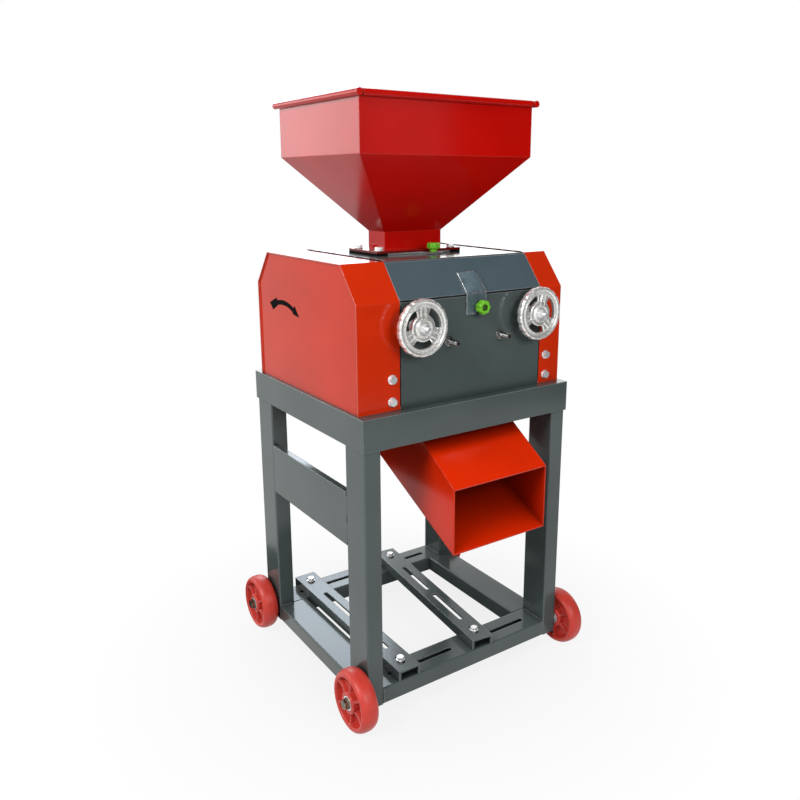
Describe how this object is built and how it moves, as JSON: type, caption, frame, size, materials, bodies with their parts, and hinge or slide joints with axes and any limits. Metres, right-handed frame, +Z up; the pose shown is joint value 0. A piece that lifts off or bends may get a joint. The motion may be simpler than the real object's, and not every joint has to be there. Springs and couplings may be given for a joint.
{
  "type": "feed crusher",
  "caption": "Roll crusher for feed grain on a wheeled stand, with a square hopper, handwheels for the roll gap, a slanting chute and slotted motor rails.",
  "frame": {"origin": "on the floor, at the centre of the machine's bounding box", "axes": "+Z up, -Y to the front with the chute mouth and handwheels, +X to the right seen from the front"},
  "size_m": [0.5462, 0.5375, 1.089],
  "materials": {
    "red_paint": "glossy red enamel on sheet steel",
    "grey_paint": "glossy dark grey enamel on steel",
    "red_plastic": "moulded red plastic",
    "zinc": "bright zinc plate",
    "chrome": "polished chrome",
    "green_plastic": "moulded green plastic",
    "rubber": "black sponge rubber",
    "machined_steel": "machined steel",
    "cast_iron": "machined cast iron"
  },
  "bodies": {
    "stand": {"top_frame": "grey_paint", "leg_front_left": "grey_paint", "leg_front_right": "grey_paint", "base_tube_front": "grey_paint", "leg_rear_left": "grey_paint", "leg_rear_right": "grey_paint", "base_tube_rear": "grey_paint", "base_tube_left": "grey_paint", "roll_wall_left": "grey_paint", "base_tube_right": "grey_paint", "roll_wall_right": "grey_paint", "side_plate": "grey_paint", "wheel_bearings": "machined_steel", "wheel_axles": "zinc", "chamber_floor": "grey_paint", "front_panel": "grey_paint", "rear_panel": "grey_paint", "top_plate": "grey_paint", "cover_seal": "rubber", "guard_left": "red_paint", "guard_right": "red_paint", "guard_bolts": "zinc", "discharge_chute": "red_paint", "bearing_block_rear_left": "cast_iron", "bearing_block_rear_right": "cast_iron", "bearings_rear": "machined_steel", "slide_guides": "machined_steel", "screw_bar": "machined_steel", "lock_studs": "zinc", "hopper": "red_paint", "hopper_flange": "grey_paint", "hopper_bolts": "zinc", "gate_guide": "grey_paint"},
    "drive_roll": {"roll_rear": "machined_steel", "shaft_rear": "machined_steel", "gear_rear": "cast_iron", "drive_pulley": "cast_iron"},
    "roll_carriage": {"bearing_block_front_left": "cast_iron", "bearing_block_front_right": "cast_iron", "bearings_front": "machined_steel"},
    "driven_roll": {"roll_front": "machined_steel", "shaft_front": "machined_steel", "gear_front": "cast_iron"},
    "left_screw": {"handwheel_left": "chrome", "adjusting_screw_left": "machined_steel"},
    "right_screw": {"handwheel_right": "chrome", "adjusting_screw_right": "machined_steel"},
    "cover": {"inspection_cover": "grey_paint", "clasp_bracket": "grey_paint"},
    "cover_knob": {"cover_knob": "green_plastic"},
    "gate": {"feed_gate": "machined_steel"},
    "gate_knob": {"gate_knob": "green_plastic"},
    "rail_left": {"motor_rail_left": "grey_paint", "rail_bolts_left": "zinc"},
    "rail_right": {"motor_rail_right": "grey_paint", "rail_bolts_right": "zinc"},
    "wheel_front_left": {"wheel_front_left": "red_plastic"},
    "wheel_front_right": {"wheel_front_right": "red_plastic"},
    "wheel_rear_left": {"wheel_rear_left": "red_plastic"},
    "wheel_rear_right": {"wheel_rear_right": "red_plastic"}
  },
  "joints": [
    {"name": "wheel_front_left_spin", "type": "hinge", "parent": "stand", "child": "wheel_front_left", "pos_m": [-0.24725, -0.19575, 0.0565], "axis": [1, 0, 0], "continuous": true},
    {"name": "wheel_front_right_spin", "type": "hinge", "parent": "stand", "child": "wheel_front_right", "pos_m": [0.24725, -0.19575, 0.0565], "axis": [1, 0, 0], "continuous": true},
    {"name": "wheel_rear_left_spin", "type": "hinge", "parent": "stand", "child": "wheel_rear_left", "pos_m": [-0.24725, 0.21225, 0.0565], "axis": [1, 0, 0], "continuous": true},
    {"name": "wheel_rear_right_spin", "type": "hinge", "parent": "stand", "child": "wheel_rear_right", "pos_m": [0.24725, 0.21225, 0.0565], "axis": [1, 0, 0], "continuous": true},
    {"name": "drive_roll_spin", "type": "hinge", "parent": "stand", "child": "drive_roll", "pos_m": [0.016, 0.05925, 0.712], "axis": [1, 0, 0], "continuous": true},
    {"name": "handwheel_left_turn", "type": "hinge", "parent": "stand", "child": "left_screw", "pos_m": [-0.1141, -0.19175, 0.712], "axis": [0, 1, 0], "range_deg": [0, 720]},
    {"name": "handwheel_right_turn", "type": "hinge", "parent": "stand", "child": "right_screw", "pos_m": [0.1461, -0.19175, 0.712], "axis": [0, 1, 0], "range_deg": [0, 720]},
    {"name": "roll_gap_slide", "type": "slide", "parent": "stand", "child": "roll_carriage", "axis": [0, -1, 0], "range_m": [0, 0.004]},
    {"name": "driven_roll_spin", "type": "hinge", "parent": "roll_carriage", "child": "driven_roll", "pos_m": [0.016, -0.05075, 0.712], "axis": [1, 0, 0], "continuous": true},
    {"name": "cover_lift", "type": "slide", "parent": "stand", "child": "cover", "axis": [0, 0, 1], "range_m": [0, 0.12]},
    {"name": "cover_knob_turn", "type": "hinge", "parent": "stand", "child": "cover_knob", "pos_m": [0.022, -0.18375, 0.733], "axis": [0, 1, 0], "range_deg": [-720, 0]},
    {"name": "feed_gate_slide", "type": "slide", "parent": "stand", "child": "gate", "axis": [0, -1, 0], "range_m": [0, 0.062]},
    {"name": "gate_knob_turn", "type": "hinge", "parent": "gate", "child": "gate_knob", "pos_m": [0.014, -0.06075, 0.8205], "axis": [0, 0, 1], "range_deg": [0, 720]},
    {"name": "motor_rail_left_slide", "type": "slide", "parent": "stand", "child": "rail_left", "axis": [1, 0, 0], "range_m": [-0.022, 0.11]},
    {"name": "motor_rail_right_slide", "type": "slide", "parent": "stand", "child": "rail_right", "axis": [1, 0, 0], "range_m": [-0.013, 0.088]}
  ],
  "couplings": [
    {"joint": "handwheel_left_turn", "follows": "roll_gap_slide", "rad_per_m": 3141.6},
    {"joint": "handwheel_right_turn", "follows": "roll_gap_slide", "rad_per_m": 3141.6},
    {"joint": "driven_roll_spin", "follows": "drive_roll_spin", "ratio": -0.77419}
  ]
}
